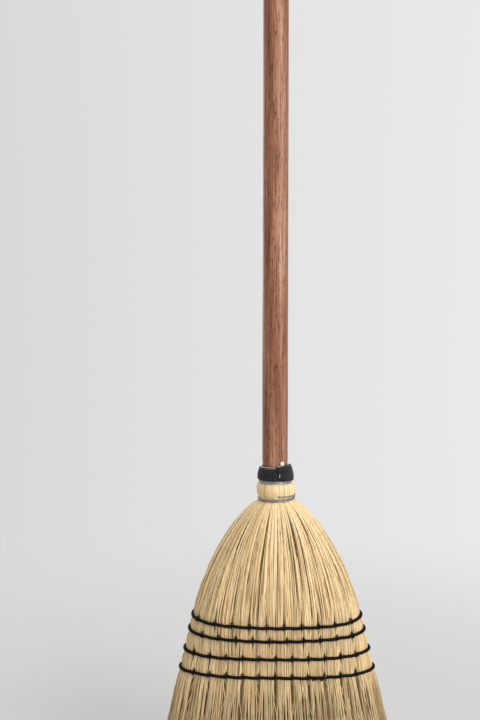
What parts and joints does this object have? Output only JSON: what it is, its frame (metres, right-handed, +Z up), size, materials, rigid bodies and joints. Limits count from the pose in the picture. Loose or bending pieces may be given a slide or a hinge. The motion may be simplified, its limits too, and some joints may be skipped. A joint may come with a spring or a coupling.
{
  "type": "corn broom",
  "caption": "Flat corn broom: round wooden handle with a domed end, wired and banded neck, flared straw head sewn with four rows of dark twine.",
  "frame": {"origin": "middle of the sweeping tips, on the handle's axis, where the broom meets the floor", "axes": "+Z up the handle from the tips, +X across the wide face, -Y is the front face"},
  "size_m": [0.3, 0.1136, 1.4],
  "materials": {
    "handle_wood": "satin",
    "broomcorn": "satin",
    "binding_wire": "satin",
    "bright_steel": "satin",
    "band_strip": "matte",
    "sewing_twine": "satin"
  },
  "bodies": {
    "broom": {"handle": "handle_wood", "inside_corn": "broomcorn", "left_shoulder_corn": "broomcorn", "right_shoulder_corn": "broomcorn", "front_cover_corn": "broomcorn", "back_cover_corn": "broomcorn", "inner_binding_wire": "binding_wire", "upper_binding_wire": "binding_wire", "cinch_wire": "binding_wire", "neck_band": "band_strip", "start_nail": "bright_steel", "finish_nail": "bright_steel", "band_staple": "bright_steel", "twine_row_1": "sewing_twine", "twine_row_2": "sewing_twine", "twine_row_3": "sewing_twine", "twine_row_4": "sewing_twine", "stitches_row_1": "sewing_twine", "stitches_row_2": "sewing_twine", "stitches_row_3": "sewing_twine", "stitches_row_4": "sewing_twine", "twine_knot": "sewing_twine"},
    "bristle_tips": {"inside_corn_tips": "broomcorn", "left_shoulder_corn_tips": "broomcorn", "right_shoulder_corn_tips": "broomcorn", "front_cover_corn_tips": "broomcorn", "back_cover_corn_tips": "broomcorn"}
  },
  "joints": [
    {"name": "bristle_flex", "type": "hinge", "parent": "broom", "child": "bristle_tips", "pos_m": [0, 0, 0.133], "axis": [1, 0, 0], "range_deg": [-25, 25], "stiffness_Nm_per_rad": 12}
  ]
}
